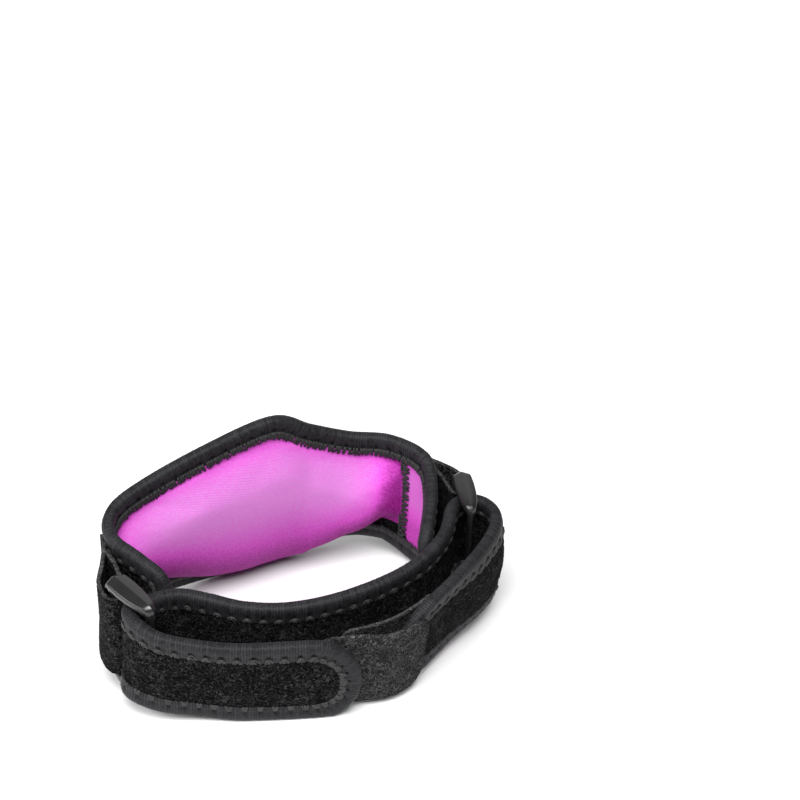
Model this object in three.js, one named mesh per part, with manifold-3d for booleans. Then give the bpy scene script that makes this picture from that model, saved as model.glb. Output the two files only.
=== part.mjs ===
// Padded elbow band, standing on its lower edge as it does when it is taken off and set down.
// A leaf-shaped pad with a bound edge carries two plastic rings in cloth loops. One bound strap
// crosses the front, turns through both rings and folds back outside, where hook tabs close it.
// Millimetres, +Z up, X from ring to ring, +Y toward the pad.

import * as THREE from 'three';
import Module from 'manifold-3d';

const wasm = await Module();
wasm.setup();

// Cloth
const clothThick = 2.6;
const seamGap = 0.3;
const tapeThick = 0.8;
const tapeWidth = 7.2;
const tapeRound = 1.3;
const edgeInset = tapeThick + seamGap;
const boundHalf = clothThick / 2 + seamGap + tapeThick;

// Strap
const strapHalf = 19;
const strapEndRadius = 15;
const strapStep = 5;

// Pad
const padEndRadius = 8;
const padStep = 5;
const panelRows = 9;
const liningInset = tapeWidth + 0.5;
const liningThick = 1;
const liningRows = 9;
const foamDepth = 9.5;
const foamStart = 30;
const foamEnd = 163;
const foamCrown = 0.5;
const foamDroop = 4;
const padTall = 38;
const spreadFrom = 25;
const spreadBack = 5;

// Rings
const ringLength = 22;
const ringHeight = 47.6;
const ringHalfMid = 3.2;
const ringHalfEnd = 1.9;
const ringBar = 3.4;
const ringRail = 3.5;
const ringCorner = 5;
const slotCorner = 2;

// Ring loops
const loopThick = 1.4;
const loopHalf = 17.6;
const loopRadius = 1;
const loopDrop = 1;
const loopWrap = 4.1;
const loopStep = 1.6;

// Hook tabs
const tabThick = 1.1;
const tabHalf = 16.4;
const tabRadius = 5;
const tabStep = 5;

// How the band stands: the whole loop leans toward the front, and its cloth is flattened on the floor.
const lean = THREE.MathUtils.degToRad(11);
const leanHeading = THREE.MathUtils.degToRad(6);
const floorDrop = 26.2;

// Plan of the pad from the left flap round the back to the right flap, with half its width there.
const padRows = [
  { x: -47.8, y: 0.8, half: 20 },
  { x: -54, y: 14, half: 21.5 },
  { x: -59.5, y: 25.5, half: 24 },
  { x: -57, y: 35.8, half: 26 },
  { x: -46, y: 42.3, half: 28.2 },
  { x: -18, y: 46.3, half: 33.8 },
  { x: 10, y: 47, half: 38.2 },
  { x: 25, y: 44.8, half: 30.8 },
  { x: 38, y: 40.8, half: 26 },
  { x: 51, y: 33, half: 25.8 },
  { x: 58.5, y: 20, half: 25 },
  { x: 55, y: 7, half: 22 },
  { x: 46, y: -8, half: 20.5 },
  { x: 40, y: -16.5, half: 20 },
];

// Plan of the strap from its left end, round the left ring, across the front and round the right ring.
// lift raises its middle line, and tip moves its upper edge to the left of its run, its lower edge right.
const strapRows = [
  { x: 1, y: -49.2 },
  { x: -12, y: -44.6 },
  { x: -25, y: -39.6 },
  { x: -38, y: -34.4 },
  { x: -50, y: -28.5, lift: 0.8 },
  { x: -61, y: -21.5, lift: 2.2 },
  { x: -67.5, y: -14.5, lift: 3.4 },
  { x: -69.8, y: -8.5, lift: 3.8 },
  { x: -68.4, y: -4.8, lift: 3.8 },
  { x: -64, y: -3.2, lift: 3.6 },
  { x: -58.5, y: -4.2, lift: 3.2 },
  { x: -52, y: -4, lift: 2.6 },
  { x: -45.5, y: -5.8, lift: 2.2 },
  { x: -38, y: -11, lift: 1.4 },
  { x: -29, y: -18, lift: 0.6 },
  { x: -17, y: -23.5 },
  { x: -3, y: -26.5 },
  { x: 12, y: -27.3, lift: 0.6 },
  { x: 27, y: -26, lift: 1.4 },
  { x: 38, y: -22.5, lift: 2 },
  { x: 47, y: -17, lift: 2.4 },
  { x: 52.6, y: -11, lift: 2.4 },
  { x: 56.5, y: -5.5, lift: 2.2 },
  { x: 60.6, y: -2.4, lift: 1.8 },
  { x: 66, y: -2.4, lift: 1.4 },
  { x: 70, y: -6, lift: 1 },
  { x: 70.6, y: -11.8, lift: 0.8 },
  { x: 66.5, y: -18.4, lift: 0.8, tip: 0.4 },
  { x: 58, y: -25, lift: 1.4, tip: 1.2 },
  { x: 47, y: -31.6, lift: 2.4, tip: 2.2 },
  { x: 36, y: -38.2, lift: 3, tip: 2.4 },
  { x: 25, y: -43.6, lift: 3, tip: 2 },
  { x: 15, y: -46.8, lift: 3, tip: 1.4 },
];

// Each ring's middle, the heading of its front end from -Y, and the way out of the band.
const rings = [
  { side: 'left', x: -63.8, y: -4.4, z: 4, heading: 18, out: -1 },
  { side: 'right', x: 63.6, y: -3.2, z: 1.8, heading: -15.5, out: 1 },
];

// Where each ring loop leaves its seam on the pad, outside and inside.
const loopSeams = {
  left: {
    outer: [{ x: -65.2, y: 26.4 }, { x: -68.4, y: 18 }, { x: -70.6, y: 10.5 }],
    inner: [{ x: -62.6, y: 12 }, { x: -62.2, y: 18.5 }, { x: -63.3, y: 25.2 }],
  },
  right: {
    outer: [{ x: 64.2, y: 23.5 }, { x: 67.5, y: 16.5 }, { x: 69.4, y: 10.5 }],
    inner: [{ x: 62.4, y: 13 }, { x: 62.4, y: 18 }, { x: 62.4, y: 22.6 }],
  },
};

// Plan of each hook tab, from under its strap end to its free end.
const tabRows = {
  left: [
    { x: -12, y: -41 },
    { x: 1.5, y: -45.8, lift: 0.8 },
    { x: 10, y: -49.4, lift: 1.8, tip: -1 },
    { x: 18, y: -49.6, lift: 2.4, tip: -1.4 },
    { x: 26, y: -47, lift: 3, tip: -2 },
  ],
  right: [
    { x: 33, y: -36.2, lift: 2.4, tip: 2.4 },
    { x: 24, y: -40.4, lift: 2.4, tip: 2 },
    { x: 14, y: -43.2, lift: 2.4, tip: 1.4 },
    { x: 4, y: -42.4, lift: 1.4, tip: 1 },
    { x: -3, y: -40.6, lift: 0.4 },
  ],
};

const finishes = {
  pile: { color: 0x26262a, roughness: 0.95, metalness: 0 },
  tape: { color: 0x3a3a3e, roughness: 0.85, metalness: 0 },
  jersey: { color: 0xd664cc, roughness: 0.8, metalness: 0 },
  plastic: { color: 0x4a4a4d, roughness: 0.4, metalness: 0 },
  hook: { color: 0x454548, roughness: 0.9, metalness: 0 },
};

// A smooth route through rows of a plan, measured by the length s from its first row.
function makeRoute(rows) {
  const smooth = (points) => {
    const curve = new THREE.CatmullRomCurve3(points, false, 'catmullrom', 0.5);
    curve.arcLengthDivisions = 60 * rows.length;
    return curve;
  };
  const plan = smooth(rows.map(({ x, y }) => new THREE.Vector3(x, y, 0)));
  const shape = smooth(rows.map(({ half = 0, lift = 0, tip = 0 }) => new THREE.Vector3(half, lift, tip)));
  const length = plan.getLength();
  const share = (s) => THREE.MathUtils.clamp(s / length, 0, 1);
  const shapeAt = (s) => shape.getPoint(plan.getUtoTmapping(share(s)));
  return {
    length,
    halfAt: (s) => shapeAt(s).x,
    at: (s) => {
      const along = plan.getTangentAt(share(s));
      const left = new THREE.Vector3(-along.y, along.x, 0).normalize();
      const { y: lift, z: tip } = shapeAt(s);
      return { point: plan.getPointAt(share(s)), left, lift, tip };
    },
  };
}

// Height of the floor under a plan point, in the frame of the leaning band.
function floorAt(x, y) {
  const back = x * Math.sin(leanHeading) + y * Math.cos(leanHeading);
  return -floorDrop - back * Math.tan(lean);
}

// The pad's lower edge, pressed on the floor, spreads backward where the pad is tall.
function padSpread(half, z) {
  const tall = THREE.MathUtils.clamp((half - spreadFrom) / (padTall - spreadFrom), 0, 1);
  return z < 0 ? spreadBack * tall * Math.pow(-z / half, 2) : 0;
}

// Bends a flat point (s along, n out to the left, z up) round a route whose cloth reaches down by low(s).
// Below the middle, a column whose low edge would sink into the floor is flattened to stand on it.
function bendPoint(route, low, { s, n, z }) {
  const { point, left, lift, tip } = route.at(s);
  const half = low(s);
  const spread = low === route.halfAt ? padSpread(half, z) : 0;
  point.addScaledVector(left, n + (tip * z) / strapHalf + spread);
  const floor = floorAt(point.x, point.y);
  const flatten = z < 0 && lift - half < floor ? (lift - floor) / half : 1;
  return point.setZ(lift + z * flatten);
}

// The way out of a strip's upper edge at s, along it and across it.
function edgeOut(halfAt, s) {
  const slope = (halfAt(s + 1) - halfAt(s - 1)) / 2;
  const size = Math.hypot(slope, 1);
  return { os: -slope / size, oh: 1 / size };
}

// Upper half of a strip's outline with rounded ends: length s, half width h, and the way out of the edge.
function stripOutline(length, halfAt, radius, step) {
  const arcSteps = 4;
  const outline = [];
  const addEnd = (end, sign, k) => {
    const turn = (Math.PI / 2) * (k / arcSteps);
    const s = end + sign * radius * (1 - Math.cos(turn));
    const h = halfAt(s) - radius * (1 - Math.sin(turn));
    outline.push({ s, h, os: -sign * Math.cos(turn), oh: Math.sin(turn) });
  };
  for (let k = 0; k < arcSteps; k += 1) addEnd(0, 1, k);
  const straight = length - 2 * radius;
  const count = Math.ceil(straight / step);
  for (let i = 0; i <= count; i += 1) {
    const s = radius + (straight * i) / count;
    outline.push({ s, h: halfAt(s), ...edgeOut(halfAt, s) });
  }
  for (let k = arcSteps - 1; k >= 0; k -= 1) addEnd(length, -1, k);
  return outline;
}

// Skins rows of points into one closed body. An open body's rows are ladders: one side up, the other down.
function skinRows(rows, isLoop) {
  const width = rows[0].length;
  const index = [];
  const quad = (a, b, c, d) => index.push(a, b, c, a, c, d);
  const spans = isLoop ? rows.length : rows.length - 1;
  for (let i = 0; i < spans; i += 1) {
    const here = i * width;
    const next = ((i + 1) % rows.length) * width;
    for (let k = 0; k < width; k += 1) {
      const m = (k + 1) % width;
      quad(here + k, here + m, next + m, next + k);
    }
  }
  if (!isLoop) {
    const last = (rows.length - 1) * width;
    for (let k = 0; k < width / 2 - 1; k += 1) {
      const m = width - 1 - k;
      quad(k, m, m - 1, k + 1);
      quad(last + k, last + k + 1, last + m - 1, last + m);
    }
  }
  const points = rows.flat();
  if (signedVolume(points, index) < 0) index.reverse();
  const geometry = new THREE.BufferGeometry().setFromPoints(points);
  geometry.setIndex(index);
  geometry.computeVertexNormals();
  return geometry;
}

function signedVolume(points, index) {
  let volume = 0;
  const cross = new THREE.Vector3();
  for (let i = 0; i < index.length; i += 3) {
    cross.crossVectors(points[index[i + 1]], points[index[i + 2]]);
    volume += points[index[i]].dot(cross) / 6;
  }
  return volume;
}

// A flat strip of cloth cut to an outline, set in from its edge, and bent round a route.
function bentStrip(route, low, outline, { inset = 0, thick, rows = 2 }) {
  const out = thick / 2;
  return skinRows(outline.map(({ s, h, os, oh }) => {
    const along = s - inset * os;
    const half = h - inset * oh;
    const front = [];
    const back = [];
    for (let k = 0; k < rows; k += 1) {
      const z = half * (1 - (2 * k) / (rows - 1));
      front.push(bendPoint(route, low, { s: along, n: out, z }));
      back.push(bendPoint(route, low, { s: along, n: -out, z }));
    }
    return [...front, ...back.reverse()];
  }), false);
}

// Edge tape folded over the whole outline of a strip, bent round the same route.
function bentBinding(route, low, outline) {
  const lining = boundHalf - tapeThick;
  const section = [
    { n: boundHalf, inset: tapeWidth },
    { n: boundHalf, inset: tapeRound },
    { n: boundHalf - tapeRound, inset: 0 },
    { n: tapeRound - boundHalf, inset: 0 },
    { n: -boundHalf, inset: tapeRound },
    { n: -boundHalf, inset: tapeWidth },
    { n: -lining, inset: tapeWidth },
    { n: -lining, inset: tapeThick },
    { n: lining, inset: tapeThick },
    { n: lining, inset: tapeWidth },
  ];
  const tapeRow = ({ s, h, os, oh }, sign) => section.map(({ n, inset }) => (
    bendPoint(route, low, { s: s - inset * os, n, z: sign * (h - inset * oh) })
  ));
  const upper = outline.map((edge) => tapeRow(edge, 1));
  const lower = outline.map((edge) => tapeRow(edge, -1));
  return skinRows([...upper, ...lower.reverse()], true);
}

// Lining over the foam: flat against the panel, crowned on the arm's side between the two cross seams.
function bentLining(route, low) {
  const face = -clothThick / 2 - seamGap;
  const start = liningInset;
  const end = route.length - liningInset;
  const count = Math.ceil((end - start) / padStep);
  const rows = [];
  for (let i = 0; i <= count; i += 1) {
    const s = start + ((end - start) * i) / count;
    const half = route.halfAt(s) - liningInset / edgeOut(route.halfAt, s).oh;
    const across = THREE.MathUtils.clamp((s - foamStart) / (foamEnd - foamStart), 0, 1);
    const rise = foamDepth * Math.sqrt(Math.sin(Math.PI * across));
    const back = [];
    const front = [];
    for (let k = 0; k < liningRows; k += 1) {
      const v = 1 - (2 * k) / (liningRows - 1);
      const crown = rise * Math.pow(1 - v * v, foamCrown);
      const droop = foamDroop * (crown / foamDepth);
      back.push(bendPoint(route, low, { s, n: face, z: v * half }));
      front.push(bendPoint(route, low, { s, n: face - liningThick - crown, z: v * half - droop }));
    }
    rows.push([...back, ...front.reverse()]);
  }
  return skinRows(rows, false);
}

function solidOf(geometry) {
  const points = geometry.getAttribute('position');
  const keys = new Map();
  const vertProperties = [];
  const triVerts = [];
  for (let i = 0; i < points.count; i += 1) {
    const place = [points.getX(i), points.getY(i), points.getZ(i)];
    const key = place.map((value) => value.toFixed(4)).join(' ');
    if (!keys.has(key)) {
      keys.set(key, keys.size);
      vertProperties.push(...place);
    }
    triVerts.push(keys.get(key));
  }
  return new wasm.Manifold(new wasm.Mesh({
    numProp: 3,
    vertProperties: new Float32Array(vertProperties),
    triVerts: new Uint32Array(triVerts),
  }));
}

function geometryOf(solid) {
  const mesh = solid.getMesh();
  const geometry = new THREE.BufferGeometry();
  geometry.setAttribute('position', new THREE.BufferAttribute(Float32Array.from(mesh.vertProperties), 3));
  geometry.setIndex(Array.from(mesh.triVerts));
  geometry.computeVertexNormals();
  return geometry;
}

function roundedRect(shape, width, height, radius) {
  const w = width / 2;
  const h = height / 2;
  shape.moveTo(w, -h + radius);
  shape.lineTo(w, h - radius);
  shape.absarc(w - radius, h - radius, radius, 0, Math.PI / 2, false);
  shape.lineTo(-w + radius, h);
  shape.absarc(-w + radius, h - radius, radius, Math.PI / 2, Math.PI, false);
  shape.lineTo(-w, -h + radius);
  shape.absarc(-w + radius, -h + radius, radius, Math.PI, Math.PI * 1.5, false);
  shape.lineTo(w - radius, -h);
  shape.absarc(w - radius, -h + radius, radius, Math.PI * 1.5, Math.PI * 2, false);
  return shape;
}

// A ring: its side view, a rounded frame with a tall slot, cut to a barrel in plan.
function ringGeometry() {
  const side = roundedRect(new THREE.Shape(), ringLength, ringHeight, ringCorner);
  const slotLength = ringLength - 2 * ringBar;
  side.holes.push(roundedRect(new THREE.Path(), slotLength, ringHeight - 2 * ringRail, slotCorner));
  const thick = 4 * ringHalfMid;
  const frame = new THREE.ExtrudeGeometry(side, { depth: thick, bevelEnabled: false, curveSegments: 5 });
  frame.translate(0, 0, -thick / 2);
  frame.rotateX(Math.PI / 2);

  const barrel = new THREE.Shape();
  const belly = 2 * ringHalfMid - ringHalfEnd;
  barrel.moveTo(-ringLength / 2 - 1, -ringHalfEnd);
  barrel.lineTo(-ringLength / 2, -ringHalfEnd);
  barrel.quadraticCurveTo(0, -belly, ringLength / 2, -ringHalfEnd);
  barrel.lineTo(ringLength / 2 + 1, -ringHalfEnd);
  barrel.lineTo(ringLength / 2 + 1, ringHalfEnd);
  barrel.lineTo(ringLength / 2, ringHalfEnd);
  barrel.quadraticCurveTo(0, belly, -ringLength / 2, ringHalfEnd);
  barrel.lineTo(-ringLength / 2 - 1, ringHalfEnd);
  const tall = 2 * ringHeight;
  const plan = new THREE.ExtrudeGeometry(barrel, { depth: tall, bevelEnabled: false, curveSegments: 10 });
  plan.translate(0, 0, -tall / 2);
  return geometryOf(solidOf(frame).intersect(solidOf(plan)));
}

// A ring loop's route: from its outer seam, round the ring's back bar, to its inner seam.
function loopRoute({ x, y, z, heading, out, side }) {
  const turn = THREE.MathUtils.degToRad(heading);
  const front = new THREE.Vector2(Math.sin(turn), -Math.cos(turn));
  const outward = new THREE.Vector2(out * Math.cos(turn), out * Math.sin(turn));
  const bar = new THREE.Vector2(x, y).addScaledVector(front, ringBar / 2 - ringLength / 2);
  const wrap = [];
  for (let k = -2; k <= 2; k += 1) {
    const angle = (k * Math.PI) / 4;
    const place = bar.clone();
    place.addScaledVector(outward, -Math.sin(angle) * loopWrap);
    place.addScaledVector(front, Math.cos(angle) * loopWrap);
    wrap.push({ x: place.x, y: place.y });
  }
  const plan = [...loopSeams[side].outer, ...wrap, ...loopSeams[side].inner];
  return makeRoute(plan.map((row) => ({ ...row, lift: z - loopDrop })));
}

function addPiece(group, name, geometry, finish) {
  const piece = new THREE.Mesh(geometry, new THREE.MeshStandardMaterial(finishes[finish]));
  piece.name = name;
  group.add(piece);
  return piece;
}

const band = new THREE.Group();

const padRoute = makeRoute(padRows);
const padLow = padRoute.halfAt;
const padCut = { inset: edgeInset, thick: clothThick, rows: panelRows };
const padOutline = stripOutline(padRoute.length, padRoute.halfAt, padEndRadius, padStep);
addPiece(band, 'pad_panel', bentStrip(padRoute, padLow, padOutline, padCut), 'pile');
addPiece(band, 'pad_lining', bentLining(padRoute, padLow), 'jersey');
addPiece(band, 'pad_binding', bentBinding(padRoute, padLow, padOutline), 'tape');

const strapRoute = makeRoute(strapRows);
const strapEdge = () => strapHalf;
const strapLow = (s) => {
  const toEnd = THREE.MathUtils.clamp(Math.min(s, strapRoute.length - s), 0, strapEndRadius);
  const corner = strapEndRadius ** 2 - (strapEndRadius - toEnd) ** 2;
  return strapHalf - strapEndRadius + Math.sqrt(corner);
};
const strapCut = { inset: edgeInset, thick: clothThick };
const strapOutline = stripOutline(strapRoute.length, strapEdge, strapEndRadius, strapStep);
addPiece(band, 'strap', bentStrip(strapRoute, strapLow, strapOutline, strapCut), 'pile');
addPiece(band, 'strap_binding', bentBinding(strapRoute, strapLow, strapOutline), 'tape');

for (const ring of rings) {
  const piece = addPiece(band, `ring_${ring.side}`, ringGeometry(), 'plastic');
  piece.position.set(ring.x, ring.y, ring.z);
  piece.rotation.z = THREE.MathUtils.degToRad(ring.heading - 90);

  const loop = loopRoute(ring);
  const loopOutline = stripOutline(loop.length, () => loopHalf, loopRadius, loopStep);
  const loopStrip = bentStrip(loop, strapEdge, loopOutline, { thick: loopThick });
  addPiece(band, `ring_loop_${ring.side}`, loopStrip, 'pile');

  const tab = makeRoute(tabRows[ring.side]);
  const tabOutline = stripOutline(tab.length, () => tabHalf, tabRadius, tabStep);
  const tabStrip = bentStrip(tab, strapEdge, tabOutline, { thick: tabThick });
  addPiece(band, `hook_tab_${ring.side}`, tabStrip, 'hook');
}

// The lean turns the flattened cloth onto the floor, and the footprint is centred on the origin.
const leanAxis = new THREE.Vector3(Math.cos(leanHeading), -Math.sin(leanHeading), 0);
band.quaternion.setFromAxisAngle(leanAxis, lean);
band.updateMatrixWorld(true);
const room = new THREE.Box3().setFromObject(band, true);
const middle = room.getCenter(new THREE.Vector3());
band.position.set(-middle.x, -middle.y, -room.min.z);

const part = new THREE.Group();
part.add(band);

export default part;
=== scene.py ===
# Padded elbow band: a bound pad with a magenta lining, two rings in cloth loops and one long bound strap.
# Each cloth piece is cut flat (s along, n out, z up), bent along its plan route and stood on its low edge.
import math
import bpy
import numpy as np
from mathutils import Matrix, Quaternion, Vector


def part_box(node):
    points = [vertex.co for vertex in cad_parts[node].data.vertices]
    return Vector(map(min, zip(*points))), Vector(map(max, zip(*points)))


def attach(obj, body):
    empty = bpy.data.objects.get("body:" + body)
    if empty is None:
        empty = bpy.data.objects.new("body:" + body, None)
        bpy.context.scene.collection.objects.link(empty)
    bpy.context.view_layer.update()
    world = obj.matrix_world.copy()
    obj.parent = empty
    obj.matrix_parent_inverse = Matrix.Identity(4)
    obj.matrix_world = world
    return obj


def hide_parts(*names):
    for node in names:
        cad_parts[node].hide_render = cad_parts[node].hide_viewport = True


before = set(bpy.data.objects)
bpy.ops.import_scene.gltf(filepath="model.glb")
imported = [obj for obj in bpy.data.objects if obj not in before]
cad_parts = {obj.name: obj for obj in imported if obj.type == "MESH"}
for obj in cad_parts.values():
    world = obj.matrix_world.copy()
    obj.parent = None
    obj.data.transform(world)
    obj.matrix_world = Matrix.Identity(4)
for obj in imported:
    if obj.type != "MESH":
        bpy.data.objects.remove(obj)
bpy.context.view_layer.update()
print("frame loaded:", len(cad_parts), "nodes")

mm = 0.001                                  # metres in a millimetre, the unit of the band's own sizes

# how the band stands: degrees of lean, degrees of its heading, mm from its middle to the floor
stand = {"lean": 11, "heading": 6, "floorDrop": 26.2}

# cloth of the pad and the strap, and the round corners of their ends
cloth = {"thick": 2.6, "strapHalf": 19, "strapEndRadius": 18, "padEndRadius": 8}

# pad plan from the left flap round the back to the right flap: x, y, half width
padRows = [
    (-47.8, 0.8, 20), (-54, 14, 21.5), (-59.5, 25.5, 24), (-57, 35.8, 26), (-46, 42.3, 28.2),
    (-18, 46.3, 33.8), (10, 47, 38.2), (25, 44.8, 30.8), (38, 40.8, 26), (51, 33, 25.8),
    (58.5, 20, 25), (55, 7, 22), (46, -8, 20.5), (40, -16.5, 20),
]
# strap plan from its left end to its right end: x, y, lift, tip of the upper edge
strapRows = [
    (1, -49.2, 0, 0), (-12, -44.6, 0, 0), (-25, -39.6, 0, 0.4), (-38, -34, 0.2, 1), (-49.4, -27.8, 1, 1.2),
    (-60, -21.7, 2.4, 0.4), (-65.7, -15.1, 3.5, -0.9), (-67.7, -9.6, 3.8, -1.4), (-66.4, -5.7, 3.8, -0.8),
    (-62.8, -3.9, 3.6, 0), (-58, -4.4, 3.2, 0), (-52, -4, 2.6, 0), (-45.5, -5.8, 2.2, 0),
    (-38, -11, 1.4, 0), (-29, -18, 0.6, 0), (-17, -23.5, 0, 0), (-3, -26.5, 0, 0), (12, -27.3, 0.6, 0),
    (27, -26, 1.4, 0), (38, -22.5, 2, 0), (47, -17, 2.4, 0), (52.6, -11, 2.4, 0), (56.5, -5.5, 2.2, 0),
    (60.6, -2.4, 1.8, 0), (66, -2.4, 1.4, 0), (70, -6, 1, 0), (70.6, -11.8, 0.8, 0),
    (66.5, -18.4, 0.8, 0.4), (58, -25, 1.4, 1.2), (47, -31.6, 2.4, 2.2), (36, -38.2, 3, 2.4),
    (25, -43.6, 3, 2), (15, -46.8, 3, 1.4),
]
# place, heading, out: each ring's middle, degrees of its front end, and the side that is outward
# wider, longer, tuck: added to its half thickness and its upper front, and its low end set forward
# loopLow, flare: share of its loop's low half left at the fold, and how far that edge flares out
# outer, inner: plan of its loop's outer layer from the pad to the ring, and of the inner layer back
ringRows = {
    "left": {"place": (-63.8, -4.4, 4), "heading": 18, "out": -1, "wider": 0.5, "longer": 1.1, "tuck": 2,
             "loopLow": 0.74, "flare": 1.6,
             "outer": [(-61.3, 32.4), (-62.5, 27), (-66.3, 18.6), (-70.4, 10.5)],
             "inner": [(-62.6, 12), (-62.2, 18.5), (-63.3, 25.2)]},
    "right": {"place": (63.6, -3.2, 1.8), "heading": -15.5, "out": 1, "wider": 0, "longer": 0, "tuck": 0,
              "loopLow": 1, "flare": 0,
              "outer": [(56.4, 30.7), (61, 25.8), (67.2, 16.6), (69.4, 10.5)],
              "inner": [(62.4, 13), (62, 18), (60.4, 23.4)]},
}
# hook tabs, from under the strap end to the free end: x, y, lift, tip
tabRows = {
    "left": [(-12, -41, 0, 0), (1.5, -45.8, 0.8, 0), (10, -49.4, 1.8, -1), (18, -49.6, 2.4, -1.4),
             (26, -47, 3, -2)],
    "right": [(33, -36.2, 2.4, 2.4), (24, -40.4, 2.4, 2), (14, -43.2, 2.4, 1.4), (4, -42.4, 1.4, 1),
              (-3, -40.6, 0.4, 0)],
}

heading = math.radians(stand["heading"])
lean = math.radians(stand["lean"])
leanTurn = np.array(Quaternion((math.cos(heading), -math.sin(heading), 0), lean).to_matrix())
ringMiddle = (np.array(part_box("ring_left")[0]) + np.array(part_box("ring_left")[1])) / 2
standShift = ringMiddle / mm - leanTurn @ np.array(ringRows["left"]["place"])


def standUp(x, y, z):                       # band millimetres to frame metres, never under the floor
    points = (np.stack([x, y, z], -1) @ leanTurn.T + standShift) * mm
    points[..., 2] = np.maximum(points[..., 2], 0)
    return points


routeSteps = 60                             # points of a route between two of its rows


def makeRoute(rows):                        # smooth route through rows of x, y and other columns
    rows = np.array(rows, float)
    near = np.vstack([2 * rows[0] - rows[1], rows, 2 * rows[-1] - rows[-2]])
    t = np.linspace(0, 1, routeSteps, endpoint=False)
    spans = []
    for p0, p1, p2, p3 in zip(near, near[1:], near[2:], near[3:]):
        bow = 2 * p0 - 5 * p1 + 4 * p2 - p3
        twist = 3 * p1 - 3 * p2 + p3 - p0
        spans.append(p1 + 0.5 * (np.outer(t, p2 - p0) + np.outer(t ** 2, bow) + np.outer(t ** 3, twist)))
    dense = np.vstack(spans + [rows[-1:]])
    run = np.concatenate([[0], np.cumsum(np.hypot(*np.diff(dense[:, :2], axis=0).T))])
    along = np.gradient(dense[:, :2], run, axis=0)
    along /= np.linalg.norm(along, axis=1, keepdims=True)
    return {"run": run, "rows": dense, "along": along, "length": run[-1]}


def column(route, s, k):
    return np.interp(s, route["run"], route["rows"][:, k])


def bend(route, s, n, z, low, lift=0, tip=0):   # flat cloth bent along a route, pressed flat on the floor
    ax, ay = (np.interp(s, route["run"], route["along"][:, k]) for k in (0, 1))
    size = np.hypot(ax, ay)
    out = n + tip * z / cloth["strapHalf"]
    x = column(route, s, 0) - ay / size * out
    y = column(route, s, 1) + ax / size * out
    back = x * math.sin(heading) + y * math.cos(heading)
    floor = -stand["floorDrop"] - back * math.tan(lean)
    pressed = (z < 0) & (lift - low < floor)
    return standUp(x, y, lift + np.where(pressed, z * (lift - floor) / low, z))


padRoute = makeRoute(padRows)
strapRoute = makeRoute(strapRows)
# half widths where the pad's low edge starts to spread and is spread in full, and how far it spreads
padSpread = {"from": 25, "full": 38, "back": 5}
# how far the low edge hangs and the top edge stands along the pad, as shares of its half width
padHang = np.array([(0, 1), (125, 1), (140, 0.97), (150, 1), (160, 1.18), (168, 1.26), (200, 1.15)])
padStand = np.array([(0, 1.1), (20, 1.1), (38, 1)])


def padHalf(s):
    return column(padRoute, s, 2)


def bendPad(s, n, z):                       # the pad's low edge spreads backward where the pad is tall
    half = padHalf(s)
    tall = np.clip((half - padSpread["from"]) / (padSpread["full"] - padSpread["from"]), 0, 1)
    spread = np.where(z < 0, padSpread["back"] * tall * (z / half) ** 2, 0)
    hang = np.interp(s, *padHang.T)
    tallness = np.where(z < 0, hang, np.interp(s, *padStand.T))
    return bend(padRoute, s, n + spread, z * tallness, half * hang)


def cornerHalf(s, length, half, radius):    # half width of a strip with rounded corners
    toEnd = np.clip(np.minimum(s, length - s), 0, radius)
    return half - radius + np.sqrt(radius ** 2 - (radius - toEnd) ** 2)


def smoothStep(share):
    share = np.clip(share, 0, 1)
    return share * share * (3 - 2 * share)


def between(values, at, start, full):       # 0 to 1 from one named place to another
    return smoothStep((at - values[start]) / (values[full] - values[start]))


def strapLow(s):
    return cornerHalf(s, strapRoute["length"], cloth["strapHalf"], cloth["strapEndRadius"])


# the right lap bulges outward between its edges: mm, and where along the strap, back from its right end
strapBulge = {"deep": 2.6, "from": 82, "full": 62, "ease": 42, "to": 22}


def bendStrap(s, n, z):
    lift, tip = column(strapRoute, s, 2), column(strapRoute, s, 3)
    back = strapRoute["length"] - s
    bulge = between(strapBulge, back, "from", "full") * between(strapBulge, back, "to", "ease")
    bulge *= strapBulge["deep"] * (1 - (z / cloth["strapHalf"]) ** 2)
    return bend(strapRoute, s, n + bulge, z, strapLow(s), lift, tip)


# Working helpers

uvUnit = 100                                # flat cloth in one UV unit
weldReach = 0.001                           # points closer than this are joined
cutFrom = 0.999                             # share of a strip's half width where its cut edge starts


def deselect():
    bpy.ops.object.select_all(action="DESELECT")


def useObject(piece):
    deselect()
    piece.select_set(True)
    bpy.context.view_layer.objects.active = piece


def applyModifier(piece, kind, **values):
    useObject(piece)
    modifier = piece.modifiers.new(kind.title(), kind)
    for key, value in values.items():
        setattr(modifier, key, value)
    bpy.ops.object.modifier_apply(modifier=modifier.name)


def pointsOf(piece):
    points = np.empty(len(piece.data.vertices) * 3)
    piece.data.vertices.foreach_get("co", points)
    return points.reshape(-1, 3)


def movePoints(piece, points):
    piece.data.vertices.foreach_set("co", np.asarray(points, np.float32).ravel())
    piece.data.update()


def setFlatUv(piece, s, z):                 # places on the flat cloth, for patterns that follow it
    layer = piece.data.uv_layers.active or piece.data.uv_layers.new(name="flatCloth")
    layer.name = "flatCloth"
    corner = np.empty(len(piece.data.loops), np.int32)
    piece.data.loops.foreach_get("vertex_index", corner)
    layer.uv.foreach_set("vector", np.stack([s, z], -1)[corner].astype(np.float32).ravel() / uvUnit)


def setShare(piece, name, share):           # a 0 to 1 value on each vertex, read by the materials
    values = piece.data.attributes.new(name, "FLOAT", "POINT")
    values.data.foreach_set("value", np.asarray(share, np.float32).ravel())


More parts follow.
